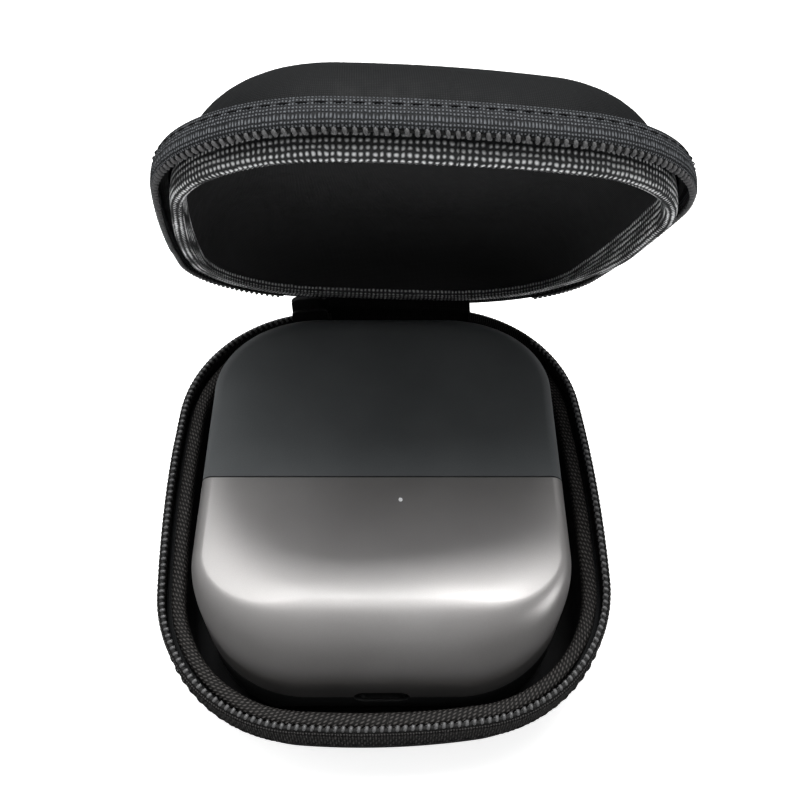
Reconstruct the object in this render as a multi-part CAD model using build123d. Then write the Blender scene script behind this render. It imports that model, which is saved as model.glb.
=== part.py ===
from build123d import *
import math
import os

# Zip-up hard case for a palm-size foil shaver, with the shaver lying in it.
# Millimetres. X across, Y from the opening edge (-) to the hinge (+), Z up.
# Origin: centre of the flat underside of the base half.

# ---- driving dimensions: case ----
CASE_W = 91.1            # across the rim
CASE_L = 101.3           # front to hinge at the rim
BASE_DEPTH = 26.0        # parting plane above the underside
LID_DEPTH = 17.7         # crown of the lid above the parting plane
SIDE_R = 297.0           # bow of the two long sides
FRONT_R = 168.0          # bow of the front
BACK_R = 285.0           # bow of the hinge side
FRONT_CORNER_R = 30.4    # rim corners at the opening edge
BACK_CORNER_R = 31.0     # rim corners beside the hinge
BASE_EVA, BASE_LINING = 2.0, 0.45   # moulded foam wall and knitted lining, base half
LID_EVA, LID_LINING = 1.3, 0.35     # the same in the lid
BASE_FLANGE, LID_FLANGE = 7.7, 5.4  # upright rim that the zip tape is sewn to
TAPE_IN, TAPE_OUT = 1.3, 0.1      # zip tape, as insets from the rim outline
COIL_IN, COIL_OUT = 1.6, 0.0      # zip coil
COIL_LOW, COIL_HIGH = 0.45, 1.7   # coil band, distance from the parting plane
BASE_EDGE, LID_EDGE = 4.9, 2.6    # foam edge, distance from the parting plane
BASE_BIND = (2.4, 5.3, 3.1)       # grosgrain binding: outer inset, inner inset, face below the parting plane
LID_BIND = (3.2, 5.6, -2.6)       # padded lip of the lid, standing out into the recess of the base
LID_STEP, LID_DRAFT, LID_ROUND = 4.8, 15.0, 14.5
BASE_STEP, BASE_DRAFT, BASE_ROUND = 2.0, 5.0, 9.0
NECK_W = 21.5            # half width of the fabric hinge

# ---- driving dimensions: lid pose ----
HINGE_Y = 50.72
HINGE_AXIS = (-0.9931, 0.0800, 0.0850)   # soft hinge: the open lid leans to +X
OPEN_DEG = 61.854        # lid opening as stored

# ---- driving dimensions: shaver ----
SH_W = 72.0              # width
SH_Y0, SH_Y1 = -41.7, 41.8
SH_Z0 = 3.0              # rear face
SH_T = 33.0              # thickness
SH_SPLIT = -3.24         # joint between body and cap
SH_X, SH_YAW = 0.1, -1.74
SH_CORNER = 22.0
SH_EDGE = 2.4            # front edges of the long sides
SH_END = 13.0            # rounding of the charging end
SH_WALL = 1.6

ZR = BASE_DEPTH
SH_Z1 = SH_Z0 + SH_T
SH_ZM = (SH_Z0 + SH_Z1) / 2
os.makedirs("parts", exist_ok=True)


# ---- rim outline: eight tangent arcs, and its exact parallel offsets ----
def meet(c0, r0, c1, r1, quad):
    dx, dy = c1[0] - c0[0], c1[1] - c0[1]
    d = math.hypot(dx, dy)
    a = (r0 * r0 - r1 * r1 + d * d) / (2 * d)
    h = math.sqrt(r0 * r0 - a * a)
    xm, ym = c0[0] + a * dx / d, c0[1] + a * dy / d
    ps = [(xm + h * dy / d, ym - h * dx / d), (xm - h * dy / d, ym + h * dx / d)]
    return max(ps, key=lambda p: quad[0] * p[0] + quad[1] * p[1])


def unit(p, q):
    d = math.hypot(q[0] - p[0], q[1] - p[1])
    return (q[0] - p[0]) / d, (q[1] - p[1]) / d


def corner_centre(sign):
    end_r = BACK_R if sign > 0 else FRONT_R
    r = BACK_CORNER_R if sign > 0 else FRONT_CORNER_R
    s = (CASE_W / 2 - SIDE_R, 0.0)
    e = (0.0, sign * (CASE_L / 2 - end_r))
    return s, e, meet(s, SIDE_R - r, e, end_r - r, (1, sign))


def outline(inset):
    """Face of the rim outline, moved inwards by inset."""
    pts, edges = [], []
    for sign in (-1, 1):
        end_r = BACK_R if sign > 0 else FRONT_R
        s, e, c = corner_centre(sign)
        u, v = unit(s, c), unit(e, c)
        p = (s[0] + u[0] * (SIDE_R - inset), s[1] + u[1] * (SIDE_R - inset))
        q = (e[0] + v[0] * (end_r - inset), e[1] + v[1] * (end_r - inset))
        m = unit((0, 0), (u[0] + v[0], u[1] + v[1]))
        r = (BACK_CORNER_R if sign > 0 else FRONT_CORNER_R) - inset
        mid = (c[0] + m[0] * r, c[1] + m[1] * r)
        pts.append((p, mid, q))
    (pf, mf, qf), (pb, mb, qb) = pts
    x = CASE_W / 2 - inset
    y = CASE_L / 2 - inset
    arcs = [
        (pf, (x, 0), pb), (pb, mb, qb), (qb, (0, y), (-qb[0], qb[1])),
        ((-qb[0], qb[1]), (-mb[0], mb[1]), (-pb[0], pb[1])),
        ((-pb[0], pb[1]), (-x, 0), (-pf[0], pf[1])),
        ((-pf[0], pf[1]), (-mf[0], mf[1]), (-qf[0], qf[1])),
        ((-qf[0], qf[1]), (0, -y), qf), (qf, mf, pf),
    ]
    for a in arcs:
        edges.append(ThreePointArc(*a))
    return make_face(edges)


def band(outer, inner, z0, z1):
    """Upright ring between two insets."""
    ring = extrude(outline(outer), z1 - z0) - extrude(outline(inner), z1 - z0)
    return Pos(0, 0, z0) * ring


def slab(inset, z0, z1):
    return Pos(0, 0, z0) * extrude(outline(inset), z1 - z0)


def dome(inset, z0, z1, draft, rounding):
    """Drafted block whose crown edge is rounded."""
    block = extrude(outline(inset), z1 - z0, taper=draft)
    top = block.faces().sort_by(Axis.Z)[-1]
    block = fillet(top.edges(), rounding)
    return Pos(0, 0, z0) * block


def half(step, depth, draft, rounding, eva, t, edge, flange):
    """One half of the case above z = 0 (its parting plane): foam shell and lining."""
    slope = math.tan(math.radians(draft))
    inner_z = flange - eva
    inner_d = step + eva / math.cos(math.radians(draft)) - eva * slope
    outer = slab(TAPE_IN, edge, flange) + dome(step, flange - 0.001, depth, draft, rounding)
    cavity = slab(TAPE_IN + eva, edge, inner_z) + dome(inner_d, inner_z - 0.001, depth - eva, draft, rounding - eva)
    shell = outer - cavity
    room = slab(TAPE_IN + eva + t, edge - 1, inner_z - t) + dome(inner_d + t, inner_z - t - 0.001, depth - eva - t, draft, rounding - eva - t)
    lining = cavity - room
    return shell, lining


def keep(solid, *boxes):
    for b in boxes:
        solid = solid - b
    return solid


def block(x0, x1, y0, y1, z0, z1):
    return Pos((x0 + x1) / 2, (y0 + y1) / 2, (z0 + z1) / 2) * Box(x1 - x0, y1 - y0, z1 - z0)


def rod(x, y, z0, z1, r):
    return Pos(x, y, (z0 + z1) / 2) * Cylinder(r, z1 - z0)


CX, CY = corner_centre(1)[2]           # back corner arc centre (right; left is mirrored)


def sector(sx, a0, a1):
    """Wedge from a back corner centre, between two angles measured from +Y towards the side."""
    c = (sx * CX, CY)
    pts = [c]
    for i in range(7):
        a = math.radians(a0 + (a1 - a0) * i / 6)
        pts.append((c[0] + sx * 60 * math.sin(a), c[1] + 60 * math.cos(a)))
    return Pos(0, 0, -10) * extrude(make_face(Polyline(*pts, close=True)), 20)


COIL_END_DEG = 46.0      # the coil stops this far round the right back corner
PARK_DEG = 4.5           # parked slider, at the edge of the fabric hinge
LID_LEFT_END_DEG = 17.0  # lid coil starts clear of the parked slider
LEFT_TAPE_X = -11.3      # zip tape on the left runs on behind the slider
TAPE_END_DEG = 15.6      # zip tape on the right stops at the hinge strip
coil_gap_base = block(-12.0, CX, 30, 70, -10, 10) + sector(1, -25, COIL_END_DEG)
coil_gap_lid = block(-CX, CX, 30, 70, -10, 10) + sector(1, -25, COIL_END_DEG) + sector(-1, -25, LID_LEFT_END_DEG)
tape_gap = block(LEFT_TAPE_X, CX, 30, 70, -10, 10) + sector(1, -25, TAPE_END_DEG)


def zip_half(coil_gap, eva, t, edge, flange, bind):
    outer, inner, low = bind
    tape = band(TAPE_OUT, TAPE_IN, COIL_HIGH, flange) - tape_gap
    coil = band(COIL_OUT, COIL_IN, COIL_LOW, COIL_HIGH) - coil_gap
    binding = band(outer, inner, low, edge) + band(TAPE_IN + eva + t, inner, edge - 0.01, flange - eva - t)
    return tape, coil, binding


parts = {}
lid_shell, lid_lining = half(LID_STEP, LID_DEPTH, LID_DRAFT, LID_ROUND, LID_EVA, LID_LINING, LID_EDGE, LID_FLANGE)
lid_tape, lid_coil, lid_binding = zip_half(coil_gap_lid, LID_EVA, LID_LINING, LID_EDGE, LID_FLANGE, LID_BIND)
base_shell, base_lining = half(BASE_STEP, BASE_DEPTH, BASE_DRAFT, BASE_ROUND, BASE_EVA, BASE_LINING, BASE_EDGE, BASE_FLANGE)
base_tape, base_coil, base_binding = zip_half(coil_gap_base, BASE_EVA, BASE_LINING, BASE_EDGE, BASE_FLANGE, BASE_BIND)


def down(s):
    return Pos(0, 0, ZR) * mirror(s, about=Plane.XY)


HINGE = Axis((0, HINGE_Y, ZR), HINGE_AXIS)


def opened(s):
    return (Pos(0, 0, ZR) * s).rotate(HINGE, OPEN_DEG)


parts["base_shell"] = down(base_shell)
parts["base_lining"] = down(base_lining)
parts["base_zip_tape"] = down(base_tape)
parts["base_zip_coil"] = down(base_coil)
parts["base_binding"] = down(base_binding)
parts["lid_shell"] = opened(lid_shell)
parts["lid_lining"] = opened(lid_lining)
parts["lid_zip_tape"] = opened(lid_tape)
parts["lid_zip_coil"] = opened(lid_coil)
parts["lid_binding"] = opened(lid_binding)

# ---- fabric hinge: one strip sewn to the back of both rims, bent over the gap ----
back = CASE_L / 2
strip_t = 0.8
x0, x1 = LEFT_TAPE_X + 0.3, NECK_W


# lower leaf lies on the base rim, upper leaf on the lid rim, the bend runs between them
def leaf(height):
    return (extrude(outline(0.15), height) - extrude(outline(0.98), height)) & block(x0, x1, 30, 70, 0, height)


low_leaf = Pos(0, 0, ZR - 6.8) * leaf(5.6)
up_leaf = (Pos(0, 0, ZR + 1.2) * leaf(3.7)).rotate(HINGE, OPEN_DEG)
f_low = low_leaf.faces().sort_by(Axis.Z)[-1]
f_up = min(up_leaf.faces(), key=lambda f: (f.center() - f_low.center()).length)
bend = loft([f_low, f_up])
parts["hinge_strip"] = low_leaf + bend + up_leaf

# ---- zip slider, parked at the left end of the zip, on the back corner ----
RIM_R = BACK_CORNER_R
sl = (-CX - RIM_R * math.sin(math.radians(PARK_DEG)), CY + RIM_R * math.cos(math.radians(PARK_DEG)))
SL_LEN = 8.4


def at_slider(s):
    """Local frame: X along the rim, Y outwards from the rim outline, Z up from the parting plane."""
    return Pos(sl[0], sl[1], ZR) * (Rot(0, 0, PARK_DEG) * s)


outer_plate = fillet(block(-SL_LEN / 2, SL_LEN / 2, 0.6, 1.7, -2.75, 2.75).edges().filter_by(Axis.Y), 1.6)
inner_plate = fillet(block(-SL_LEN / 2, SL_LEN / 2, -2.9, -2.2, -2.2, 2.2).edges().filter_by(Axis.Y), 1.2)
divider = block(1.4, 3.4, -2.25, 0.65, -0.15, 0.15)
loop = block(-2.7, -1.9, 1.65, 4.2, -0.8, 0.8) + block(1.9, 2.7, 1.65, 4.2, -0.8, 0.8)
loop = loop + Pos(0, 3.6, 0) * (Rot(0, 90, 0) * Cylinder(0.6, 4.6))
parts["zip_slider"] = at_slider(outer_plate + inner_plate + divider + loop)
eye = Pos(0, 3.6, 0) * (Rot(0, 90, 0) * (Cylinder(1.55, 3.2)))
blade = fillet(block(-3.1, 3.1, 2.9, 4.3, -17.5, -3.0).edges().filter_by(Axis.Y), 1.5)
stem = block(-1.6, 1.6, 2.9, 4.3, -4.0, -0.5)
pull = eye + blade + stem - Pos(0, 3.6, 0) * (Rot(0, 90, 0) * Cylinder(0.85, 8))
pull = pull - Pos(0, 3.6, -13.4) * (Rot(90, 0, 0) * Cylinder(1.3, 6))
parts["pull_tab"] = at_slider(pull)


# ---- shaver: envelope inset by t ----
def envelope(t):
    w, y0, y1, z0, z1 = SH_W / 2 - t, SH_Y0 + t, SH_Y1 - t, SH_Z0 + t, SH_Z1 - t
    plan = Pos(0, (y0 + y1) / 2, z0) * extrude(RectangleRounded(2 * w, y1 - y0, SH_CORNER - t), z1 - z0)
    plan = fillet(plan.faces().sort_by(Axis.Z)[-1].edges(), max(SH_EDGE - t, 0.6))
    plan = fillet(plan.faces().sort_by(Axis.Z)[0].edges(), max(8.0 - t, 0.6))
    prof = Pos(0, (y0 + y1) / 2, (z0 + z1) / 2) * Box(2 * w + 2, y1 - y0, z1 - z0)
    prof = fillet([e for e in prof.edges().filter_by(Axis.X) if abs(e.center().Y - y0) < 1e-3], SH_END - t)
    prof = fillet([e for e in prof.edges().filter_by(Axis.X) if abs(e.center().Y - y1) < 1e-3], 8.0 - t)
    return plan & prof


def y_slice(y0, y1, z0=-50, z1=100):
    return block(-60, 60, y0, y1, z0, z1)


full = envelope(0)
hollow = envelope(SH_WALL)
skin = full - hollow
ys = SH_SPLIT
body = skin & y_slice(-60, ys - 0.15)
front = body & block(-60, 60, -60, 60, SH_ZM + 0.05, 60)
rear = body & block(-60, 60, -60, 60, -5, SH_ZM - 0.05)

# screw bosses
BOSS = [(-25.0, -33.0), (25.0, -33.0), (-24.5, -10.5), (24.5, -10.5)]
screws = []
for bx, by in BOSS:
    front = front + (rod(bx, by, SH_ZM + 0.05, SH_Z1 - 1.0, 2.4) & envelope(0.8))
    front = front - rod(bx, by, SH_ZM - 1, SH_ZM + 9.6, 1.05)
    rear = rear + (rod(bx, by, SH_Z0 + 1.0, SH_ZM - 0.05, 2.4) & envelope(0.8))
    rear = rear - rod(bx, by, SH_Z0 - 1, SH_Z0 + 7.0, 1.95) - rod(bx, by, SH_Z0, SH_ZM + 1, 1.15)
    screws.append(rod(bx, by, SH_Z0 + 5.2, SH_Z0 + 7.0, 1.8) + rod(bx, by, SH_Z0 + 6.9, SH_ZM + 9, 1.0))

# charging socket at the middle of the end face, on the joint between the covers
PORT_Z = SH_ZM


def slot(w, h, y0, y1):
    """Round-ended bar along Y."""
    b = Pos(0, (y0 + y1) / 2, PORT_Z) * Box(w, y1 - y0, h)
    return fillet(b.edges().filter_by(Axis.Y), h / 2 - 0.02)


port_cut = slot(10.6, 4.9, SH_Y0 - 1, SH_Y0 + 2.6)
front = front - port_cut
rear = rear - port_cut
gasket = slot(10.5, 4.8, SH_Y0 + 0.5, SH_Y0 + 1.55) - slot(9.0, 3.3, SH_Y0 - 1, SH_Y0 + 4)
socket = slot(8.94, 3.26, SH_Y0 + 0.15, SH_Y0 + 7.4) - slot(8.34, 2.56, SH_Y0 - 1, SH_Y0 + 6.6)
socket = socket + Pos(0, SH_Y0 + 4.4, PORT_Z) * Box(6.7, 5.0, 0.7)

# indicator light guide through the front cover, just below the cap
LEDX, LEDY = 3.6, -8.4
front = front - rod(LEDX, LEDY, SH_Z1 - 3, SH_Z1 + 1, 0.45)
lens = rod(LEDX, LEDY, SH_Z1 - 2.6, SH_Z1 - 0.05, 0.42)

# power button in the rear face
BTN = (0.0, -14.0)
rear = rear - rod(BTN[0], BTN[1], SH_Z0 - 1, SH_Z0 + 3, 4.8)
button = rod(BTN[0], BTN[1], SH_Z0 + 0.15, SH_Z0 + 1.5, 4.6) + rod(BTN[0], BTN[1], SH_Z0 + 1.8, SH_Z0 + 2.6, 5.6)
button = button + rod(BTN[0], BTN[1], SH_Z0 + 1.4, SH_Z0 + 3.6, 1.6)
button = fillet(button.faces().sort_by(Axis.Z)[0].edges(), 0.4)
board2 = block(-11, 11, -19.0, -9.0, 8.4, 9.4)
switch = block(-3, 3, BTN[1] - 3, BTN[1] + 3, 7.2, 8.4)

# bulkhead with motor rails, battery, circuit board
chassis = block(-28, 28, -21.2, -20.0, 10, 30) + block(-20.5, -19, -20.1, -6.0, 12, 27) + block(19, 20.5, -20.1, -6.0, 12, 27)
battery = Pos(0, -29.0, 26.4) * (Rot(0, 90, 0) * Cylinder(7.1, 43.0)) + Pos(21.9, -29.0, 26.4) * (Rot(0, 90, 0) * Cylinder(2.6, 0.8))
pcb = block(-22, 22, -36.6, -21.5, 16.7, 17.8)

# motor: yoke and centre pole, coil, two opposed movers with drive pins
stator = block(-18, 18, -19.6, -17.8, 14.0, 25.0) + block(-18, -16, -19.6, -10.0, 14.0, 25.0) + block(16, 18, -19.6, -10.0, 14.0, 25.0)
stator = stator + block(-1.6, 1.6, -18.0, -9.0, 15.0, 24.0)
coil = block(-3.2, 3.2, -17.4, -10.0, 13.5, 25.5) - block(-1.8, 1.8, -18, -9, 14.8, 24.2)


def mover(sx):
    m = block(sx * 9 - 4.0, sx * 9 + 4.0, -15.0, -4.6, 15.2, 23.8)
    return m + Pos(sx * 9, 7.5, SH_ZM) * (Rot(90, 0, 0) * Cylinder(1.5, 24.4))


mover_a, mover_b = mover(-1), mover(1)

# neck collar that the cap seats on, and the head base with its two release buttons
collar = envelope(2.15) & y_slice(-4.4, 1.6)
collar = collar - block(-15, 15, -6, 3, SH_ZM - 5.5, SH_ZM + 5.5)
head_base = block(-26, 26, 1.6, 13.0, SH_ZM - 12, SH_ZM + 12)
head_base = fillet(head_base.edges().filter_by(Axis.Y), 4)
head_base = head_base - block(-13, 13, 0, 14, SH_ZM - 4, SH_ZM + 4)
for sx in (-1, 1):
    head_base = head_base - Pos(sx * 24.0, 7.4, SH_ZM) * Box(6.2, 4.9, 8.5)
release_r = block(22.6, 27.2, 5.2, 9.6, SH_ZM - 4, SH_ZM + 4)
release_r = fillet(release_r.edges().filter_by(Axis.X), 1.0)
release_l = mirror(release_r, about=Plane.YZ)

# floating foil head
FOIL_Z = (SH_ZM - 8.2, SH_ZM, SH_ZM + 8.2)
frame = block(-27, 27, 15.2, 31.0, SH_ZM - 13.2, SH_ZM + 13.2)
frame = fillet(frame.edges().filter_by(Axis.Y), 4)
frame = frame - block(-25.2, 25.2, 15.0, 26.0, SH_ZM - 12.3, SH_ZM + 12.3)


def arch(r, y_axis, y_low, half_len, z):
    """Half cylinder along X with straight legs towards -Y."""
    a = Pos(0, y_axis, z) * (Rot(0, 90, 0) * Cylinder(r, 2 * half_len))
    return a + block(-half_len, half_len, y_axis - r, y_axis, z - r, z + r) + block(-half_len, half_len, y_low, y_axis, z - r, z + r)


foils, inner = [], []
for z in FOIL_Z:
    frame = frame - block(-23.4, 23.4, 25, 32, z - 3.8, z + 3.8)
    foils.append(arch(3.65, 31.5, 26.4, 23.2, z) - arch(3.4, 31.5, 26.0, 23.3, z))
    inner.append(arch(3.2, 31.5, 26.9, 21.0, z) - arch(2.3, 31.5, 26.0, 22.0, z))
comb = block(-18.5, -17.5, 28.0, 36.0, 0, 40)
for i in range(1, 13):
    comb = comb + block(-18.5 + 3 * i, -17.5 + 3 * i, 28.0, 36.0, 0, 40)
inner = [b - comb for b in inner]
carrier_a = block(-14, -4, 18.4, 20.4, SH_ZM - 10.4, SH_ZM + 10.4)
for z in (FOIL_Z[0], FOIL_Z[2]):
    carrier_a = carrier_a + block(-12, -6, 20.3, 27.9, z - 2.25, z + 2.25)
carrier_a = carrier_a - Pos(-9, 19.6, SH_ZM) * (Rot(90, 0, 0) * Cylinder(1.75, 6))
carrier_b = block(4, 14, 18.4, 20.4, SH_ZM - 3.0, SH_ZM + 3.0) + block(6, 12, 20.3, 27.9, SH_ZM - 2.25, SH_ZM + 2.25)
carrier_b = carrier_b - Pos(9, 19.6, SH_ZM) * (Rot(90, 0, 0) * Cylinder(1.75, 6))

cap = (full - envelope(1.8)) & y_slice(ys + 0.15, 60)

shaver = {
    "front_cover": front, "rear_cover": rear, "socket_gasket": gasket, "charging_socket": socket,
    "indicator_lens": lens, "power_button": button, "switch_board": board2, "power_switch": switch,
    "chassis": chassis, "battery": battery, "circuit_board": pcb,
    "motor_core": stator, "motor_coil": coil, "motor_mover_a": mover_a, "motor_mover_b": mover_b,
    "neck_collar": collar, "head_base": head_base, "release_button_left": release_l, "release_button_right": release_r,
    "foil_frame": frame, "travel_cap": cap,
    "blade_carrier_outer": carrier_a, "blade_carrier_middle": carrier_b,
}
groups = {"cover_screws": screws, "foils": foils, "inner_blades_outer": [inner[0], inner[2]], "inner_blade_middle": [inner[1]]}


def in_case(s):
    """The shaver lies a little askew in the case."""
    c = Pos(0, (SH_Y0 + SH_Y1) / 2, 0)
    return Pos(SH_X, 0, 0) * (c * (Rot(0, 0, SH_YAW) * (Pos(0, -(SH_Y0 + SH_Y1) / 2, 0) * s)))


def solids_of(s):
    return list(s.solids()) if not isinstance(s, ShapeList) else [x for p in s for x in p.solids()]


for name, s in shaver.items():
    parts[name] = in_case(Compound(solids_of(s)))
for name, many in groups.items():
    parts[name] = in_case(Compound([x for s in many for x in solids_of(s)]))

for name, s in parts.items():
    found = solids_of(s)
    s = found[0] if len(found) == 1 else Compound(found)
    export_step(s, f"parts/{name}.step")
    print(name, len(found), round(s.volume, 1), s.is_valid)
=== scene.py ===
import bpy, bmesh, math
from mathutils import Matrix, Vector, noise


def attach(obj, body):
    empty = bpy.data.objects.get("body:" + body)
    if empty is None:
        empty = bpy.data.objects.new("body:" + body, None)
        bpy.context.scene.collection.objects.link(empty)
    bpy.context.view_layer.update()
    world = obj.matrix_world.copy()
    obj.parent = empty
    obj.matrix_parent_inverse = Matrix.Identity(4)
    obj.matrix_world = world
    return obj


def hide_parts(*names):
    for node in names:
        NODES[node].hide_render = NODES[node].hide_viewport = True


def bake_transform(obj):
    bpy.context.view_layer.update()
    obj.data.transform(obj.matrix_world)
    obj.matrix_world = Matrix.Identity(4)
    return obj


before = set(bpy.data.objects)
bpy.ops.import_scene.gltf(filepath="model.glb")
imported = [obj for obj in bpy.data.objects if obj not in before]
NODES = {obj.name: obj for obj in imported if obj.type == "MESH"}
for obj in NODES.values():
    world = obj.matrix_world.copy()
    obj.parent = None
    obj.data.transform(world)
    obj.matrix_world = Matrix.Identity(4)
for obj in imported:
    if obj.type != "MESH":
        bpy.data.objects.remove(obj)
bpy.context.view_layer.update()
MM = 0.001

# ------------------------------------------------------------------ sizes, as in the CAD (mm)
W, L = 91.1, 101.3
ZR = 26.0
RS, RF, RB, RCF, RCB = 297.0, 168.0, 285.0, 30.4, 31.0
OPEN = math.radians(61.854)
HP = Vector((0, 50.72, ZR))
HA = Vector((-0.9931, 0.0800, 0.0850)).normalized()
LIDM = Matrix.Translation(HP) @ Matrix.Rotation(OPEN, 4, HA) @ Matrix.Translation(-HP)


# ------------------------------------------------------------------ rim outline
def meet(c0, r0, c1, r1, q):
    dx, dy = c1[0] - c0[0], c1[1] - c0[1]
    d = math.hypot(dx, dy)
    a = (r0 * r0 - r1 * r1 + d * d) / (2 * d)
    h = math.sqrt(r0 * r0 - a * a)
    xm, ym = c0[0] + a * dx / d, c0[1] + a * dy / d
    return max([(xm + h * dy / d, ym - h * dx / d), (xm - h * dy / d, ym + h * dx / d)], key=lambda p: q[0] * p[0] + q[1] * p[1])


S = (W / 2 - RS, 0.0)
EF, EB = (0.0, -(L / 2 - RF)), (0.0, L / 2 - RB)
CF = meet(S, RS - RCF, EF, RF - RCF, (1, -1))
CB = meet(S, RS - RCB, EB, RB - RCB, (1, 1))


def ang(c, p):
    return math.atan2(p[1] - c[1], p[0] - c[0])


a_f, a_s0 = ang(EF, CF), ang(S, CF)
a_s1, a_b = ang(S, CB), ang(EB, CB)
right = [(EF, RF, -math.pi / 2, a_f), (CF, RCF, a_f, a_s0), (S, RS, a_s0, a_s1), (CB, RCB, a_s1, a_b), (EB, RB, a_b, math.pi / 2)]
ARCS = right + [((-c[0], c[1]), r, math.pi - b, math.pi - a) for c, r, a, b in reversed(right)]
PERIM = sum(r * (b - a) for _, r, a, b in ARCS)


def rim(s):
    """Point and outward normal at arc length s, counter-clockwise from the middle of the front."""
    s %= PERIM
    for c, r, a, b in ARCS:
        n = r * (b - a)
        if s <= n or (c, r, a, b) == ARCS[-1]:
            t = a + s / r
            return c[0] + r * math.cos(t), c[1] + r * math.sin(t), math.cos(t), math.sin(t)
        s -= n


def place(x, y, zd, lid):
    """A point zd from the parting plane, in the base or in the open lid, in metres."""
    v = Vector((x, y, ZR + zd)) if lid else Vector((x, y, ZR - zd))
    return (LIDM @ v if lid else v) * MM


# ------------------------------------------------------------------ mesh helpers
def make(name, verts, faces, uvs, mat, body, smooth=True, seam=None):
    me = bpy.data.meshes.new(name)
    me.from_pydata([tuple(v) for v in verts], [], faces)
    if uvs:
        lay = me.uv_layers.new(name="UVMap")
        for loop in me.loops:
            lay.data[loop.index].uv = uvs[loop.vertex_index]
        for f, own in (seam or {}).items():
            for li in me.polygons[f].loop_indices:
                vi = me.loops[li].vertex_index
                if vi in own:
                    lay.data[li].uv = own[vi]
    for p in me.polygons:
        p.use_smooth = smooth
    ob = bpy.data.objects.new(name, me)
    bpy.context.scene.collection.objects.link(ob)
    me.materials.append(mat)
    bm = bmesh.new(); bm.from_mesh(me)
    bmesh.ops.recalc_face_normals(bm, faces=bm.faces)
    bm.to_mesh(me); bm.free()
    if body:
        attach(ob, body)
    return ob


def sweep(name, prof, lid, mat, body, step=0.5, s0=None, s1=None, disp=None, loop=False, crown=None, rings=7):
    """Sweep a (inset, distance from the parting plane) profile round the rim. crown closes the last row over the middle."""
    full = s0 is None
    s0, s1 = (0.0, PERIM) if full else (s0, s1)
    n = max(8, int(round((s1 - s0) / step)))
    cols = n if full else n + 1
    vl = [0.0]
    for a, b in zip(prof, prof[1:]):
        vl.append(vl[-1] + math.hypot(b[0] - a[0], b[1] - a[1]))
    verts, uvs, faces = [], [], []
    m = len(prof)
    for i in range(cols):
        s = s0 + (s1 - s0) * i / n
        x, y, nx, ny = rim(s)
        for j, (d, z) in enumerate(prof):
            if disp:
                dd, dz = disp(s, j, d, z)
                d, z = d + dd, z + dz
            verts.append(place(x - nx * d, y - ny * d, z, lid))
            uvs.append((s, vl[j]))
    for i in range(n):
        k = (i + 1) % cols
        for j in range(m - 1 if not loop else m):
            j2 = (j + 1) % m
            faces.append((i * m + j, k * m + j, k * m + j2, i * m + j2))
    if not full and loop:
        faces.append(tuple(range(m)))
        faces.append(tuple((cols - 1) * m + j for j in reversed(range(m))))
    seam = {}
    if crown is not None and full:
        d, z = prof[-1]
        prev = [i * m + m - 1 for i in range(cols)]
        for r in range(1, rings + 1):
            t = 1 - r / (rings + 0.6)
            cur = []
            for i in range(cols):
                x, y, nx, ny = rim(s0 + (s1 - s0) * i / n)
                px, py = (x - nx * d) * t, (y - ny * d) * t
                cur.append(len(verts))
                verts.append(place(px, py, z + crown * (1 - t * t), lid))
                uvs.append((px + 500, py))
            for i in range(cols):
                k = (i + 1) % cols
                if r == 1:      # the flat weave of the crown starts at this ring
                    own = {}
                    for q in (i, k):
                        x, y, nx, ny = rim(s0 + (s1 - s0) * q / n)
                        own[prev[q]] = (x - nx * d + 500, y - ny * d)
                    seam[len(faces)] = own
                faces.append((prev[i], prev[k], cur[k], cur[i]))
            prev = cur
        faces.append(tuple(prev))
    return make(name, verts, faces, uvs, mat, body, seam=seam)


# ------------------------------------------------------------------ materials
def mat_new(name):
    m = bpy.data.materials.new(name)
    m.use_nodes = True
    nt = m.node_tree
    nt.nodes.clear()
    out = nt.nodes.new("ShaderNodeOutputMaterial")
    b = nt.nodes.new("ShaderNodeBsdfPrincipled")
    nt.links.new(b.outputs[0], out.inputs[0])
    return m, nt, b


def node(nt, kind, **kw):
    n = nt.nodes.new(kind)
    for k, v in kw.items():
        if k in n.inputs.keys():
            n.inputs[k].default_value = v
        else:
            setattr(n, k, v)
    return n


def coords(nt, uv, scale):
    if uv:
        src = node(nt, "ShaderNodeUVMap", uv_map="UVMap").outputs[0]
    else:
        src = node(nt, "ShaderNodeTexCoord").outputs["Object"]
    mp = node(nt, "ShaderNodeMapping")
    mp.inputs["Scale"].default_value = scale
    nt.links.new(src, mp.inputs["Vector"])
    return mp.outputs[0]


def ramp(nt, fac, a, b, lo=0.3, hi=0.7):
    r = node(nt, "ShaderNodeValToRGB")
    r.color_ramp.elements[0].position, r.color_ramp.elements[1].position = lo, hi
    r.color_ramp.elements[0].color, r.color_ramp.elements[1].color = (*a, 1), (*b, 1)
    nt.links.new(fac, r.inputs[0])
    return r.outputs[0]


def bump(nt, bsdf, height, strength, dist):
    b = node(nt, "ShaderNodeBump")
    b.inputs["Strength"].default_value, b.inputs["Distance"].default_value = strength, dist
    nt.links.new(height, b.inputs["Height"])
    nt.links.new(b.outputs[0], bsdf.inputs["Normal"])


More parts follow.
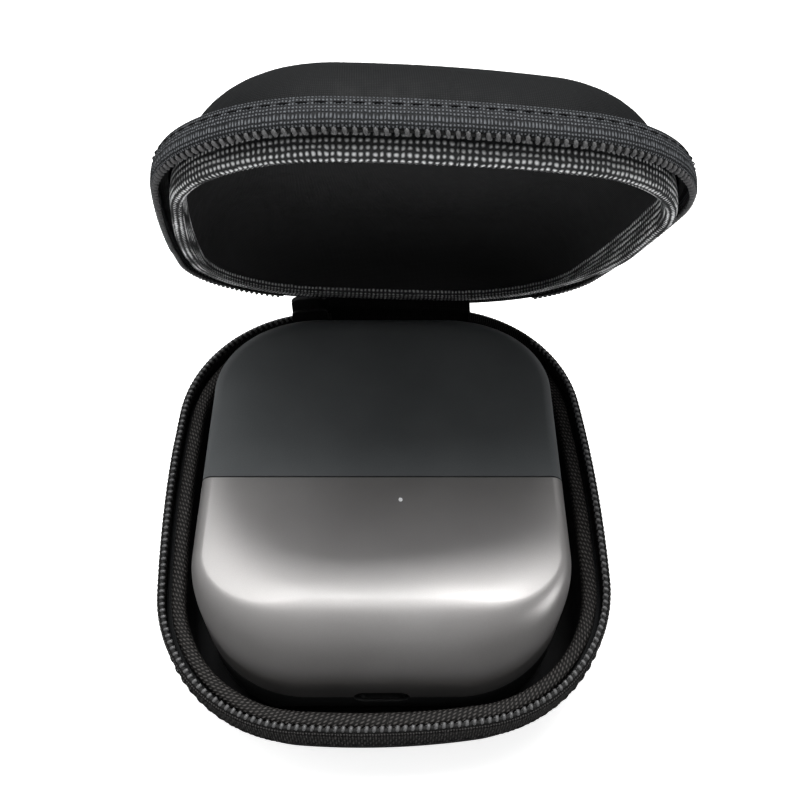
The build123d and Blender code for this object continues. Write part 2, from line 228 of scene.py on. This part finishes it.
def fabric(name, lo, hi, pitch, rough=0.8, sheen=0.25, strength=0.5, slant=0.0, dist=0.0002, uv=True, row=None, spec=0.12, t0=0.15, t1=1.0, wobble=0.5):
    """Woven cloth: two crossed thread waves, with slubs and uneven dye."""
    m, nt, b = mat_new(name)
    k = 1.0 if uv else 1000.0
    c = coords(nt, uv, (k, k, k))
    waves = []
    for direction, extra, p in (("X", slant, pitch), ("Y", -slant, row or pitch)):
        mp = node(nt, "ShaderNodeMapping")
        mp.inputs["Rotation"].default_value = (0, 0, extra)
        nt.links.new(c, mp.inputs["Vector"])
        w = node(nt, "ShaderNodeTexWave", wave_type="BANDS", bands_direction=direction, wave_profile="SIN")
        w.inputs["Scale"].default_value = 0.314 / p
        w.inputs["Distortion"].default_value = wobble
        w.inputs["Detail"].default_value = 1.0
        w.inputs["Detail Scale"].default_value = 2.0
        nt.links.new(mp.outputs[0], w.inputs["Vector"])
        waves.append(w.outputs["Fac"])
    mul = node(nt, "ShaderNodeMath", operation="MULTIPLY")
    nt.links.new(waves[0], mul.inputs[0]); nt.links.new(waves[1], mul.inputs[1])
    nz = node(nt, "ShaderNodeTexNoise")
    nz.inputs["Scale"].default_value, nz.inputs["Detail"].default_value = 0.35, 4.0
    nt.links.new(c, nz.inputs["Vector"])
    add = node(nt, "ShaderNodeMath", operation="MULTIPLY_ADD")
    add.inputs[1].default_value = 0.35
    nt.links.new(nz.outputs["Fac"], add.inputs[0]); nt.links.new(mul.outputs[0], add.inputs[2])
    nt.links.new(ramp(nt, add.outputs[0], lo, hi, t0, t1), b.inputs["Base Color"])
    nt.links.new(ramp(nt, nz.outputs["Fac"], (rough - 0.1,) * 3, (min(rough + 0.1, 1),) * 3), b.inputs["Roughness"])
    b.inputs["Sheen Weight"].default_value = sheen
    b.inputs["Sheen Roughness"].default_value = 0.5
    b.inputs["Specular IOR Level"].default_value = spec
    bump(nt, b, add.outputs[0], strength, dist)
    return m


def hard(name, lo, hi, rough=0.4, metal=0.0, scale=900.0, strength=0.08, coat=0.0, coat_rough=0.03, spec=0.5, stretch=(1, 1, 1), aniso=0.0):
    """Moulded plastic, paint or metal: fine grain, uneven gloss and handling marks."""
    m, nt, b = mat_new(name)
    c = coords(nt, False, stretch)
    fine = node(nt, "ShaderNodeTexNoise"); fine.inputs["Scale"].default_value = scale; fine.inputs["Detail"].default_value = 3.0
    broad = node(nt, "ShaderNodeTexNoise"); broad.inputs["Scale"].default_value = 45.0; broad.inputs["Detail"].default_value = 5.0
    nt.links.new(c, fine.inputs["Vector"]); nt.links.new(c, broad.inputs["Vector"])
    mix = node(nt, "ShaderNodeMath", operation="MULTIPLY_ADD"); mix.inputs[1].default_value = 0.5
    nt.links.new(fine.outputs["Fac"], mix.inputs[0]); nt.links.new(broad.outputs["Fac"], mix.inputs[2])
    nt.links.new(ramp(nt, mix.outputs[0], lo, hi, 0.35, 1.05), b.inputs["Base Color"])
    nt.links.new(ramp(nt, broad.outputs["Fac"], (max(rough - 0.04, 0.02),) * 3, (rough + 0.05,) * 3), b.inputs["Roughness"])
    b.inputs["Metallic"].default_value = metal
    b.inputs["Coat Weight"].default_value = coat
    b.inputs["Coat Roughness"].default_value = coat_rough
    b.inputs["Specular IOR Level"].default_value = spec
    b.inputs["Anisotropic"].default_value = aniso
    if strength:
        bump(nt, b, fine.outputs["Fac"], strength, 0.00002)
    return m


M_SHELL = fabric("shell_cloth", (0.0045, 0.0048, 0.0050), (0.018, 0.019, 0.0202), 0.36, 0.60, 0.0, 0.22, spec=0.2)
M_LINING = fabric("lining_knit", (0.020, 0.020, 0.021), (0.042, 0.042, 0.043), 0.30, 0.8, 0.0, 0.2, spec=0.15)
# painted light: the lid's zip tape is the same tape as the base's, painted about twice as light to stand in for the
# light from the top left; the base's copy below is the darker one
M_TAPE_LIT = fabric("zip_tape_weave", (0.015, 0.016, 0.0175), (0.155, 0.163, 0.175), 0.52, 0.6, 0.0, 0.8, row=0.58, spec=0.25, t0=0.30, t1=1.15, wobble=1.8)
M_TAPE_B = fabric("zip_tape_weave_dark", (0.007, 0.0068, 0.0068), (0.070, 0.067, 0.066), 0.52, 0.65, 0.0, 0.7, row=0.58, spec=0.12, t0=0.30, t1=1.15, wobble=1.8)
M_BIND = fabric("grosgrain", (0.009, 0.0085, 0.0082), (0.085, 0.080, 0.077), 0.93, 0.6, 0.0, 0.5, slant=0.35, row=0.6, spec=0.2, t0=0.30, t1=1.15, wobble=1.0)
# painted highlight: the lid's lip is the same grosgrain as the base binding above, painted about ten times lighter to
# stand in for the front light on its ribs
M_LIP_PAINTED_LIGHT = fabric("grosgrain_lip_painted_light", (0.030, 0.031, 0.032), (0.80, 0.81, 0.82), 0.98, 0.5, 0.0, 1.0, row=0.98, spec=0.4, t0=0.30, t1=1.12, wobble=1.6)
M_HINGE = fabric("hinge_cloth", (0.003, 0.003, 0.003), (0.009, 0.009, 0.009), 0.5, 0.8, 0.0, 0.5)
M_THREAD = fabric("sewing_thread", (0.012, 0.012, 0.013), (0.040, 0.040, 0.042), 0.12, 0.6, 0.0, 0.5, uv=False)
M_COIL = hard("coil_nylon", (0.080, 0.080, 0.082), (0.150, 0.150, 0.152), 0.30, 0.0, 1500, 0.1, spec=0.9, coat=0.5, coat_rough=0.2)
M_GLOSS = hard("front_lacquer", (0.50, 0.483, 0.476), (0.62, 0.606, 0.60), 0.38, 0.86, 5000, 0.05, coat=0.30, coat_rough=0.13)
M_CAP = hard("cap_softtouch", (0.068, 0.074, 0.077), (0.112, 0.119, 0.123), 0.45, 0.0, 4000, 0.12, spec=0.4)
M_SOCKET = hard("socket_metal", (0.10, 0.10, 0.105), (0.18, 0.18, 0.185), 0.35, 1.0, 1200, 0.1)
M_REAR = hard("rear_plastic", (0.020, 0.021, 0.022), (0.036, 0.037, 0.038), 0.5, 0.0, 3000, 0.2)
M_PART = hard("inner_plastic", (0.04, 0.04, 0.042), (0.07, 0.07, 0.073), 0.5, 0.0, 2000, 0.15)
M_ZIPM = hard("zip_metal", (0.02, 0.02, 0.021), (0.05, 0.05, 0.052), 0.32, 0.7, 1600, 0.15)
M_STEEL = hard("brushed_steel", (0.50, 0.50, 0.51), (0.68, 0.68, 0.69), 0.28, 1.0, 1200, 0.12, stretch=(1, 12, 1), aniso=0.4)
M_LENS = hard("light_guide", (0.75, 0.76, 0.78), (0.90, 0.90, 0.92), 0.15, 0.0, 1500, 0.02)
M_BOARD = hard("circuit_board", (0.01, 0.08, 0.03), (0.03, 0.16, 0.07), 0.35, 0.0, 700, 0.1)
M_CELL = hard("cell_wrap", (0.05, 0.06, 0.12), (0.09, 0.10, 0.18), 0.3, 0.1, 900, 0.05)
M_IRON = hard("core_iron", (0.14, 0.14, 0.145), (0.26, 0.26, 0.265), 0.55, 0.9, 900, 0.3)
M_COPPER = hard("winding_copper", (0.42, 0.16, 0.06), (0.65, 0.28, 0.12), 0.3, 1.0, 900, 0.3, stretch=(1, 1, 14))
M_RUBBER = hard("seal_rubber", (0.010, 0.010, 0.010), (0.022, 0.022, 0.022), 0.75, 0.0, 1800, 0.3)

CADMAT = {
    "zip_slider": M_ZIPM, "pull_tab": M_ZIPM, "rear_cover": M_REAR, "power_button": M_PART, "cover_screws": M_STEEL,
    "socket_gasket": M_RUBBER, "charging_socket": M_SOCKET, "indicator_lens": M_LENS, "switch_board": M_BOARD, "power_switch": M_PART,
    "chassis": M_PART, "battery": M_CELL, "circuit_board": M_BOARD, "motor_core": M_IRON, "motor_coil": M_COPPER,
    "motor_mover_a": M_IRON, "motor_mover_b": M_IRON, "neck_collar": M_PART, "head_base": M_PART,
    "release_button_left": M_PART, "release_button_right": M_PART, "foil_frame": M_PART, "foils": M_STEEL,
    "blade_carrier_outer": M_PART, "blade_carrier_middle": M_PART, "inner_blades_outer": M_STEEL, "inner_blade_middle": M_STEEL,
}
for name, m in CADMAT.items():
    ob = NODES[name]
    for i in range(max(1, len(ob.material_slots))):
        if i < len(ob.material_slots):
            ob.material_slots[i].material = m
        else:
            ob.data.materials.append(m)


# ------------------------------------------------------------------ foam shells and linings
def wall(step, depth, draft_deg, r, off, flange, z_first):
    """Outer wall of a half, or the surface lying off inside it."""
    t = math.radians(draft_deg)
    cz = depth - r
    cd = step + math.tan(t) * (cz - flange) + r / math.cos(t)
    r2 = r - off
    pts = []
    d_w, z_w = cd - r2 * math.cos(t), cz + r2 * math.sin(t)
    z_lo = z_first
    for k in range(7):
        z = z_lo + (z_w - z_lo) * k / 7
        pts.append((d_w - (z_w - z) * math.tan(t), z))
    for k in range(13):
        a = t + (math.pi / 2 - t) * k / 12
        pts.append((cd - r2 * math.cos(a), cz + r2 * math.sin(a)))
    return pts


def soft(amp, f):
    def g(s, j, d, z):
        v = noise.noise(Vector((math.cos(2 * math.pi * s / PERIM) * f, math.sin(2 * math.pi * s / PERIM) * f, z * 0.11))) * amp
        return max(v, 0.0), 0.0
    return g


# half: step, depth, draft, rounding, foam wall, lining, foam edge, flange
HALF = {False: (2.0, 26.0, 5.0, 9.0, 2.0, 0.45, 4.9, 7.7), True: (4.8, 17.7, 15.0, 14.5, 1.3, 0.35, 2.6, 5.4)}
for lid, tag, body in ((False, "base", "base"), (True, "lid", "lid")):
    step, depth, draft, rnd, eva, lin, edge, fl = HALF[lid]
    o = wall(step, depth, draft, rnd, 0.0, fl, fl)
    prof = [(3.0, edge + 0.12), (2.9, edge + 0.02), (2.2, edge), (1.45, edge + 0.02), (1.32, edge + 0.2), (1.3, edge + 0.7)]
    if lid:
        prof += [(1.34, 3.9), (1.5, 4.6), (1.85, 5.05), (2.4, 5.3), (3.4, 5.42), (step - 0.5, 5.5), (step - 0.08, 5.7)]
    else:
        prof += [(1.3, fl - 0.8), (1.36, fl - 0.3), (1.6, fl - 0.06), (step - 0.1, fl)]
    sh = sweep(f"{tag}_shell_skin", prof + o[1:], lid, M_SHELL, body, 0.8, crown=0.0)
    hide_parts(f"{tag}_shell")
    i = wall(step, depth, draft, rnd, eva + 0.06, fl, edge + 0.15)
    li = sweep(f"{tag}_lining_skin", [(i[0][0] - 0.3, edge + 0.1)] + i, lid, M_LINING, body, 1.0, disp=soft(0.12, 2.2), crown=0.0)
    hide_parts(f"{tag}_lining")

# ------------------------------------------------------------------ zip tape, coil and binding
corner_len = RCB


def s_of(side, deg):
    """Arc length at an angle round a back corner, from +Y towards that side."""
    a = math.pi / 2 - math.radians(deg)
    s = 0.0
    for c, r, p, q in ARCS[:4]:
        if (c, r) == (CB, RCB):
            sr = s + RCB * (a - p)
            return sr if side > 0 else PERIM - sr
        s += r * (q - p)


def s_back(x):
    return PERIM / 2 - x


TAPE_R, TAPE_L = s_of(1, 15.6), s_back(-11.3)
COIL_R = s_of(1, 46.0)


def smooth(a, b, x):
    t = min(1.0, max(0.0, (x - a) / (b - a)))
    return t * t * (3 - 2 * t)


CORNER_L0 = s_of(-1, 0.0) - PERIM      # left back corner, where the slider runs
CORNER_L1 = s_of(-1, 90.0) - PERIM if s_of(-1, 90.0) else 0.0


def lift(s):
    """The coil rises to the parting plane, except along the run of the slider."""
    u = s if s < PERIM / 2 else s - PERIM
    return -0.42 * smooth(CORNER_L1 + 3.0, CORNER_L1 + 9.0, u)


def weave_tape(tag, lid):
    fl = HALF[lid][7]
    n = 17
    out = []
    for k in range(n):
        f = k / (n - 1)
        z = 1.5 + (fl - 0.45 - 1.5) * f
        d = (0.16 + 1.0 * max(0.0, f - 0.35) ** 1.3) if lid else 0.14
        out.append((d, z))
    last = out[-1]
    return [(1.2, 1.2), (0.9, 1.16), (0.45, 1.22)] + out + [(last[0] + 0.12, fl - 0.22), (last[0] + 0.5, fl - 0.03), (max(1.27, last[0] + 0.6), fl - 0.02)]


for lid, tag in ((False, "base"), (True, "lid")):
    body = tag
    fl = HALF[lid][7]
    prof = weave_tape(tag, lid)

    # woven band with thread relief
    def weave(s, j, d, z):
        dz = lift(s) if z < 2.4 else 0.0
        if j < 3 or j > 19:
            return 0.0, dz
        return 0.05 + 0.05 * math.sin(2 * math.pi * s / 1.05 + (math.pi if j % 2 else 0)), dz

    # the lid tape takes the lighter copy with painted light in its colour, the base tape the darker copy
    t = sweep(f"{tag}_tape_weave", prof, lid, M_TAPE_LIT if lid else M_TAPE_B, body, 0.2, TAPE_L - PERIM, TAPE_R, disp=weave, loop=True)
    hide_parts(f"{tag}_zip_tape")
    # coil: one bent turn of nylon per tooth, on a sewn core
    c0 = (s_of(-1, 17.0) if lid else s_back(-12.0)) - PERIM
    core = sweep(f"{tag}_coil_core", [(0.95, 1.42), (0.8, 1.22), (0.8, 0.95), (1.1, 0.8), (1.5, 0.95), (1.5, 1.42)], lid, M_RUBBER, body, 0.7, c0, COIL_R, disp=lambda s, j, d, z: (0.0, lift(s)), loop=True)
    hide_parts(f"{tag}_zip_coil")
    verts, faces = [], []
    set_in = 0.3 if lid else 0.6
    path = [(d + set_in, z, ds) for d, z, ds in [(1.10, 1.36, 0.0), (0.72, 1.38, 0.03), (0.44, 1.18, 0.08), (0.42, 0.98, 0.13), (0.62, 0.76, 0.20), (1.10, 0.74, 0.32)]]
    pitch, rad, sides = 1.40, 0.34, 10
    count = int((COIL_R - c0) / pitch)
    for q in range(count):
        base_s = c0 + pitch * (q + 0.25 + (0.5 if lid else 0.0))
        up_z = lift(base_s)
        ring = []
        for i, (d, z, ds) in enumerate(path):
            a, b = path[max(i - 1, 0)], path[min(i + 1, len(path) - 1)]
            tn = Vector((b[2] - a[2], b[0] - a[0], b[1] - a[1])).normalized()
            u = tn.cross(Vector((1, 0, 0))).normalized()
            w = tn.cross(u)
            cur = []
            for k in range(sides):
                th = 2 * math.pi * k / sides
                o = (u * math.cos(th) + w * math.sin(th)) * rad
                x, y, nx, ny = rim(base_s + ds + o[0])
                cur.append(len(verts))
                verts.append(place(x - nx * (d + o[1]), y - ny * (d + o[1]), z + o[2] + up_z, lid))
            ring.append(cur)
        for r0, r1 in zip(ring, ring[1:]):
            for k in range(sides):
                faces.append((r0[k], r0[(k + 1) % sides], r1[(k + 1) % sides], r1[k]))
        faces.append(tuple(reversed(ring[0]))); faces.append(tuple(ring[-1]))
    teeth = make(f"{tag}_coil_turns", verts, faces, None, M_COIL, body)
    # stitching through the tape into the foam
    verts, faces = [], []
    s = TAPE_L - PERIM + 2
    row = prof[16]
    while s < TAPE_R - 3:
        for k in range(9):
            f = k / 8
            x, y, nx, ny = rim(s + 1.7 * f)
            arc = 0.16 * math.sin(math.pi * f)
            for m in range(6):
                th = 2 * math.pi * m / 6
                d = row[0] + 0.04 - arc + 0.11 * math.cos(th)
                verts.append(place(x - nx * d, y - ny * d, row[1] + 0.12 * math.sin(th), lid))
        b0 = len(verts) - 54
        for k in range(8):
            for m in range(6):
                faces.append((b0 + k * 6 + m, b0 + k * 6 + (m + 1) % 6, b0 + (k + 1) * 6 + (m + 1) % 6, b0 + (k + 1) * 6 + m))
        s += 2.6
    st = make(f"{tag}_tape_stitches", verts, faces, None, M_THREAD, body)
    # grosgrain: flat recessed band in the base, padded lip standing out of the lid
    if lid:
        prof = [(3.32, 2.6), (3.24, 1.6), (3.22, 0.6), (3.22, -0.3), (3.24, -1.1), (3.32, -1.7), (3.52, -2.15), (3.85, -2.45), (4.3, -2.58), (4.75, -2.5), (5.15, -2.22), (5.42, -1.75), (5.55, -1.0), (5.58, 0.2), (5.58, 1.4), (5.58, 2.7)]
    else:
        prof = [(2.44, 4.88), (2.43, 4.3), (2.46, 3.8), (2.58, 3.42), (2.85, 3.2), (3.25, 3.13), (3.7, 3.12), (4.2, 3.15), (4.65, 3.25), (5.0, 3.5), (5.22, 3.9), (5.28, 4.4), (5.28, 5.0)]
    last = len(prof) - 2

    def fade(s):
        return 1.0 - smooth(-6.0, 34.0, rim(s)[1])

    def ribs(s, j, d, z, lid=lid, last=last):
        u = s if s < PERIM / 2 else s - PERIM
        amp = 1.0 if lid else 1.0 - smooth(-15.5, -14.5, u) * (1 - smooth(3.3, 4.3, u))
        low = (1.0 - z) * 0.92 * (1.0 - fade(s)) if lid and z < 1.0 else 0.0
        if j < (3 if lid else 1) or j > last or amp <= 0.0:
            return 0.0, low
        slant = 0.2 * (z + 1) if lid else 0.62 * (d - 2.4)
        k = 0.15 * amp * (0.5 - 0.5 * math.sin(2 * math.pi * (s + slant) / 0.93))
        mid = 4.4 if lid else 3.85
        w = max(-1.0, min(1.0, (mid - d) / (mid - (3.2 if lid else 2.4))))
        return k * w, k * (1 - abs(w)) + low

    # the lid's lip takes the lighter grosgrain copy with painted light in its colour; the base band takes the darker
    # copy
    bd = sweep(f"{tag}_binding_ribs", prof, lid, M_LIP_PAINTED_LIGHT if lid else M_BIND, body, 0.155, disp=ribs)
    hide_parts(f"{tag}_binding")

# ------------------------------------------------------------------ fabric hinge
verts, uvs, faces = [], [], []
cols, low, bend, up = 34, 5, 9, 5
for i in range(cols):
    s = s_back(22.5 - (22.5 + 12.6) * i / (cols - 1))
    x, y, nx, ny = rim(s)
    d = 0.5
    pts = [place(x - nx * d, y - ny * d, 6.8 - 5.6 * k / (low - 1), False) for k in range(low)]
    lp = [place(x - nx * d, y - ny * d, 1.2 + 3.7 * k / (up - 1), True) for k in range(up)]
    p0, p3 = pts[-1], lp[0]
    reach = (p3 - p0).length * 0.42
    p1 = p0 + (pts[-1] - pts[-2]).normalized() * reach
    p2 = p3 - (lp[1] - lp[0]).normalized() * reach
    for k in range(1, bend):
        t = k / bend
        pts.append(p0 * (1 - t) ** 3 + p1 * 3 * t * (1 - t) ** 2 + p2 * 3 * t * t * (1 - t) + p3 * t ** 3)
    pts += lp
    v = 0.0
    for k, p in enumerate(pts):
        v += (p - pts[k - 1]).length / MM if k else 0
        verts.append(p); uvs.append((s, v))
rows = len(pts)
for i in range(cols - 1):
    for j in range(rows - 1):
        faces.append((i * rows + j, (i + 1) * rows + j, (i + 1) * rows + j + 1, i * rows + j + 1))
hs = make("hinge_fabric", verts, faces, uvs, M_HINGE, None)
sol = hs.modifiers.new("thick", "SOLIDIFY"); sol.thickness = 0.0005; sol.offset = 0.0
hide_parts("hinge_strip")
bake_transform(hs)

# ------------------------------------------------------------------ shaver covers
SX0, SY0, SY1, SZ0, SZ1, SW, SR = 0.1, -41.7, 41.8, 3.0, 36.0, 72.0, 22.0
SZM, SPLIT = (SZ0 + SZ1) / 2, -3.24
EDGE, REAR, END, TOP = 2.4, 8.0, 13.0, 8.0
SC = (SY0 + SY1) / 2
YAW = math.radians(-1.74)
SHM = Matrix.Translation((SX0, SC, 0)) @ Matrix.Rotation(YAW, 4, "Z") @ Matrix.Translation((0, -SC, 0))


def plan(n_corner=40, n_side=40):
    """Rounded plan, counter-clockwise, with outward normals."""
    hw, cx, y0, y1 = SW / 2, SW / 2 - SR, SY0 + SR, SY1 - SR
    out = []
    def line(a, b, n, nx, ny):
        for k in range(n):
            out.append((a[0] + (b[0] - a[0]) * k / n, a[1] + (b[1] - a[1]) * k / n, nx, ny))
    def arc(cx_, cy_, a0, n):
        for k in range(n):
            t = a0 + math.pi / 2 * k / n
            out.append((cx_ + SR * math.cos(t), cy_ + SR * math.sin(t), math.cos(t), math.sin(t)))
    line((-cx, SY0), (cx, SY0), n_side, 0, -1)
    arc(cx, y0, -math.pi / 2, n_corner)
    line((hw, y0), (hw, y1), n_side * 2, 1, 0)
    arc(cx, y1, 0, n_corner)
    line((cx, SY1), (-cx, SY1), n_side, 0, 1)
    arc(-cx, y1, math.pi / 2, n_corner)
    line((-hw, y1), (-hw, y0), n_side * 2, -1, 0)
    arc(-cx, y0, math.pi, n_corner)
    return out


def edge_radius(ny, side, front_end, back_end):
    w = abs(ny) ** 1.6
    return side + ((front_end if ny < 0 else back_end) - side) * w


def envelope_bm():
    ring = plan()
    bm = bmesh.new()
    rows = []
    steps = 12
    def row(f):
        cur = [bm.verts.new(SHM @ Vector(f(*p)) * MM) for p in ring]
        rows.append(cur)
    for k in range(7, 0, -1):
        t = 1 - k / 8.0
        row(lambda x, y, nx, ny, t=t: ((x - nx * edge_radius(ny, EDGE, END, TOP)) * t, SC + (y - ny * edge_radius(ny, EDGE, END, TOP) - SC) * t, SZ1))
    for k in range(steps + 1):
        a = math.pi / 2 * (1 - k / steps)
        row(lambda x, y, nx, ny, a=a: (x - nx * edge_radius(ny, EDGE, END, TOP) * (1 - math.cos(a)), y - ny * edge_radius(ny, EDGE, END, TOP) * (1 - math.cos(a)), SZ1 - edge_radius(ny, EDGE, END, TOP) * (1 - math.sin(a))))
    for k in range(steps + 1):
        a = math.pi / 2 * k / steps
        row(lambda x, y, nx, ny, a=a: (x - nx * edge_radius(ny, REAR, END, TOP) * (1 - math.cos(a)), y - ny * edge_radius(ny, REAR, END, TOP) * (1 - math.cos(a)), SZ0 + edge_radius(ny, REAR, END, TOP) * (1 - math.sin(a))))
    for k in range(1, 8):
        t = 1 - k / 8.0
        row(lambda x, y, nx, ny, t=t: ((x - nx * edge_radius(ny, REAR, END, TOP)) * t, SC + (y - ny * edge_radius(ny, REAR, END, TOP) - SC) * t, SZ0))
    n = len(ring)
    for a, b in zip(rows, rows[1:]):
        for i in range(n):
            bm.faces.new((a[i], a[(i + 1) % n], b[(i + 1) % n], b[i]))
    bm.faces.new(rows[0]); bm.faces.new(rows[-1])
    bmesh.ops.recalc_face_normals(bm, faces=bm.faces)
    return bm


def cut(bm, co, no):
    """Removes what lies on the side the normal points to."""
    bmesh.ops.bisect_plane(bm, geom=bm.verts[:] + bm.edges[:] + bm.faces[:], plane_co=co, plane_no=no, clear_outer=True)


def cover(name, planes, mat, body, thick):
    bm = envelope_bm()
    for co, no in planes:
        cut(bm, SHM @ Vector(co) * MM, SHM.to_3x3() @ Vector(no))
    me = bpy.data.meshes.new(name)
    bm.to_mesh(me); bm.free()
    for p in me.polygons:
        p.use_smooth = True
    ob = bpy.data.objects.new(name, me)
    bpy.context.scene.collection.objects.link(ob)
    me.materials.append(mat)
    so = ob.modifiers.new("wall", "SOLIDIFY"); so.thickness = thick * MM; so.offset = -1.0
    return ob


def bake(ob):
    dg = bpy.context.evaluated_depsgraph_get()
    me = bpy.data.meshes.new_from_object(ob.evaluated_get(dg))
    old = ob.data
    ob.modifiers.clear(); ob.data = me
    bpy.data.meshes.remove(old)


def slot_cutter(w, h, y0, y1, z):
    bm = bmesh.new()
    ring = []
    r = h / 2
    for k in range(32):
        t = 2 * math.pi * k / 32
        cx = (w / 2 - r) * (1 if math.cos(t) >= 0 else -1)
        ring.append((cx + r * math.cos(t), z + r * math.sin(t)))
    a = [bm.verts.new(SHM @ Vector((x, y0, zz)) * MM) for x, zz in ring]
    b = [bm.verts.new(SHM @ Vector((x, y1, zz)) * MM) for x, zz in ring]
    for i in range(32):
        bm.faces.new((a[i], a[(i + 1) % 32], b[(i + 1) % 32], b[i]))
    bm.faces.new(a); bm.faces.new(b)
    bmesh.ops.recalc_face_normals(bm, faces=bm.faces)
    me = bpy.data.meshes.new("cutter"); bm.to_mesh(me); bm.free()
    ob = bpy.data.objects.new("cutter", me)
    bpy.context.scene.collection.objects.link(ob)
    return ob


def pin_cutter(x, y, r):
    bm = bmesh.new()
    bmesh.ops.create_cone(bm, cap_ends=True, segments=24, radius1=r * MM, radius2=r * MM, depth=0.006)
    bmesh.ops.transform(bm, matrix=Matrix.Translation(SHM @ Vector((x, y, SZ1)) * MM), verts=bm.verts)
    me = bpy.data.meshes.new("cutter"); bm.to_mesh(me); bm.free()
    ob = bpy.data.objects.new("cutter", me)
    bpy.context.scene.collection.objects.link(ob)
    return ob


front = cover("front_cover_gloss", [((0, SPLIT - 0.15, 0), (0, 1, 0)), ((0, 0, SZM + 0.05), (0, 0, -1))], M_GLOSS, "shaver", 1.4)
bake(front)
for c in (slot_cutter(10.6, 4.9, SY0 - 2, SY0 + 2.6, SZM), pin_cutter(3.6, -8.4, 0.45)):
    bo = front.modifiers.new("cut", "BOOLEAN"); bo.operation = "DIFFERENCE"; bo.solver = "EXACT"; bo.object = c
    bake(front)
    bpy.data.objects.remove(c, do_unlink=True)
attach(front, "shaver"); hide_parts("front_cover")

cap = cover("travel_cap_matte", [((0, SPLIT + 0.15, 0), (0, -1, 0))], M_CAP, "cap", 1.6)
bake(cap)
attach(cap, "cap"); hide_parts("travel_cap")

for ob in (front, cap):
    for p in ob.data.polygons:
        p.use_smooth = True
    es = ob.modifiers.new("split", "EDGE_SPLIT"); es.split_angle = math.radians(35)

# ------------------------------------------------------------------ floor, lights, camera
bpy.ops.mesh.primitive_plane_add(size=6.0, location=(0, 0, 0))
floor = bpy.context.object
floor.name = "floor"
fm, fnt, fb = mat_new("floor_pale")
fb.inputs["Base Color"].default_value = (0.92, 0.92, 0.92, 1)
fb.inputs["Roughness"].default_value = 0.9
fb.inputs["Emission Color"].default_value = (1.0, 1.0, 1.0, 1)
fb.inputs["Emission Strength"].default_value = 0.75
floor.data.materials.append(fm)
floor.visible_glossy = False

# pale backdrop dome, seen directly but neither lit by nor reflected in the object
bm = bmesh.new()
bmesh.ops.create_uvsphere(bm, u_segments=48, v_segments=24, radius=2.9)
me = bpy.data.meshes.new("backdrop"); bm.to_mesh(me); bm.free()
drop = bpy.data.objects.new("backdrop", me)
bpy.context.scene.collection.objects.link(drop)
dm, dnt, db = mat_new("backdrop_pale")
db.inputs["Base Color"].default_value = (0.9, 0.9, 0.9, 1)
db.inputs["Emission Color"].default_value = (1.0, 1.0, 1.0, 1)
db.inputs["Emission Strength"].default_value = 0.9
me.materials.append(dm)
drop.visible_glossy = drop.visible_diffuse = drop.visible_shadow = drop.visible_transmission = False

# soft room: bright overhead and behind, dim towards the front
world = bpy.data.worlds.new("studio")
world.use_nodes = True
wn = world.node_tree
bg = wn.nodes["Background"]
tc = wn.nodes.new("ShaderNodeTexCoord")
dp = wn.nodes.new("ShaderNodeVectorMath"); dp.operation = "DOT_PRODUCT"
dp.inputs[1].default_value = (-0.10, 0.40, 0.91)
wn.links.new(tc.outputs["Generated"], dp.inputs[0])
cr = wn.nodes.new("ShaderNodeValToRGB")
for pos, v in ((0.0, 0.05), (0.45, 0.08), (0.80, 0.20), (1.0, 0.38)):
    el = cr.color_ramp.elements[0] if pos == 0.0 else cr.color_ramp.elements[1] if pos == 1.0 else cr.color_ramp.elements.new(pos)
    el.position = pos
    el.color = (v, v, v, 1)
wn.links.new(dp.outputs["Value"], cr.inputs[0])
wn.links.new(cr.outputs[0], bg.inputs[0])
bg.inputs[1].default_value = 1.0
bpy.context.scene.world = world


def area(name, loc, look, sx, sy, power, color=(1, 1, 1)):
    ld = bpy.data.lights.new(name, "AREA")
    ld.shape, ld.size, ld.size_y, ld.energy, ld.color = "RECTANGLE", sx, sy, power, color
    ob = bpy.data.objects.new(name, ld)
    bpy.context.scene.collection.objects.link(ob)
    ob.location = loc
    ob.rotation_euler = (Vector(look) - Vector(loc)).to_track_quat("-Z", "Y").to_euler()
    return ob


area("top_soft", (0.04, 0.42, 0.98), (0, -0.02, 0.03), 0.34, 0.30, 4.4)
area("streak", (-0.05, 0.44, 0.95), (0, -0.03, 0.03), 0.10, 0.02, 0.2)
area("right_soft", (0.62, -0.25, 0.45), (0, 0, 0.05), 0.30, 0.4, 0.7)
for lamp in (area("overhead_fill", (0.0, 0.20, 1.05), (0, 0, 0.03), 0.7, 0.5, 7.5), area("left_fill", (-0.60, 0.10, 0.80), (0, 0, 0.10), 0.8, 0.6, 2.2)):
    lamp.visible_glossy = False

cam_d = bpy.data.cameras.new("camera")
cam_d.sensor_width, cam_d.lens = 36.0, 36.0 * 929.536 / 800.0
cam_d.clip_start = 0.01
cam_d.dof.use_dof = False
cam = bpy.data.objects.new("camera", cam_d)
bpy.context.scene.collection.objects.link(cam)
e, yaw, roll = math.radians(54.37), math.radians(2.52), math.radians(0.67)
fwd = Vector((math.sin(yaw) * math.cos(e), math.cos(yaw) * math.cos(e), -math.sin(e)))
rt = Vector((math.cos(yaw), -math.sin(yaw), 0.0))
upv = rt.cross(fwd)
r2 = rt * math.cos(roll) + upv * math.sin(roll)
u2 = -rt * math.sin(roll) + upv * math.cos(roll)
m = Matrix.Identity(4)
for i in range(3):
    m[i][0], m[i][1], m[i][2] = r2[i], u2[i], -fwd[i]
m.translation = Vector((-0.851, -98.375, 168.863 + ZR)) * MM
cam.matrix_world = m
bpy.context.scene.camera = cam
bpy.context.scene.view_settings.view_transform = "Standard"
